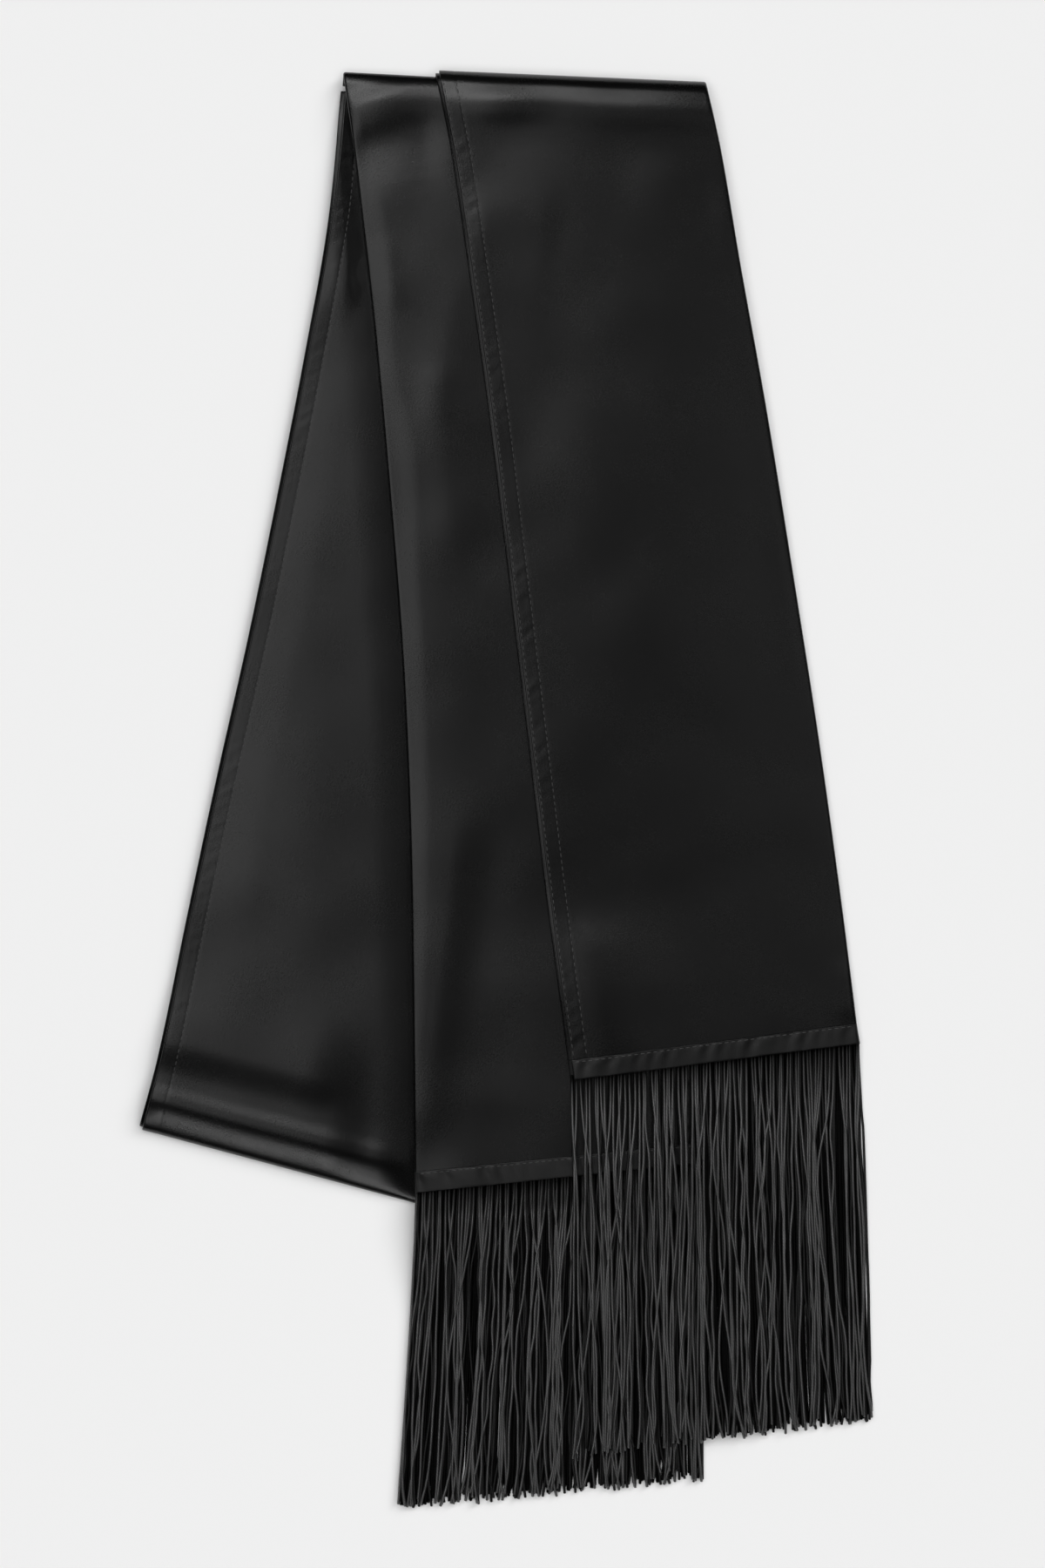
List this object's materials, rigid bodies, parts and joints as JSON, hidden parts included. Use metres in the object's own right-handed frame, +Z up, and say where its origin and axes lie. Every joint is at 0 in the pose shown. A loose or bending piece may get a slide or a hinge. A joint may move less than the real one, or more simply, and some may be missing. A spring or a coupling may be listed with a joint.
{
  "type": "fringed satin scarf, folded flat",
  "caption": "Long narrow doubled satin scarf with a corded fringe at each end, folded over itself and laid flat.",
  "frame": {"origin": "on the table, under the middle of the whole folded scarf and its fringe", "axes": "+Z up from the table, +Y from the fringe towards the top folds, +X towards the front fall"},
  "size_m": [0.3155, 0.6217, 0.0105],
  "materials": {
    "satin": "smooth black satin with a soft sheen",
    "band": "black satin turned and stitched, with a fine twill rib",
    "fringe": "twisted matt black cord"
  },
  "bodies": {
    "root": {"front_fall": "satin", "second_fall": "satin", "back_fall": "satin", "under_layers": "satin", "front_end_band": "band", "second_end_band": "band", "front_fringe_upper": "fringe", "front_fringe_lower": "fringe", "second_fringe_upper": "fringe", "second_fringe_lower": "fringe"}
  },
  "joints": []
}
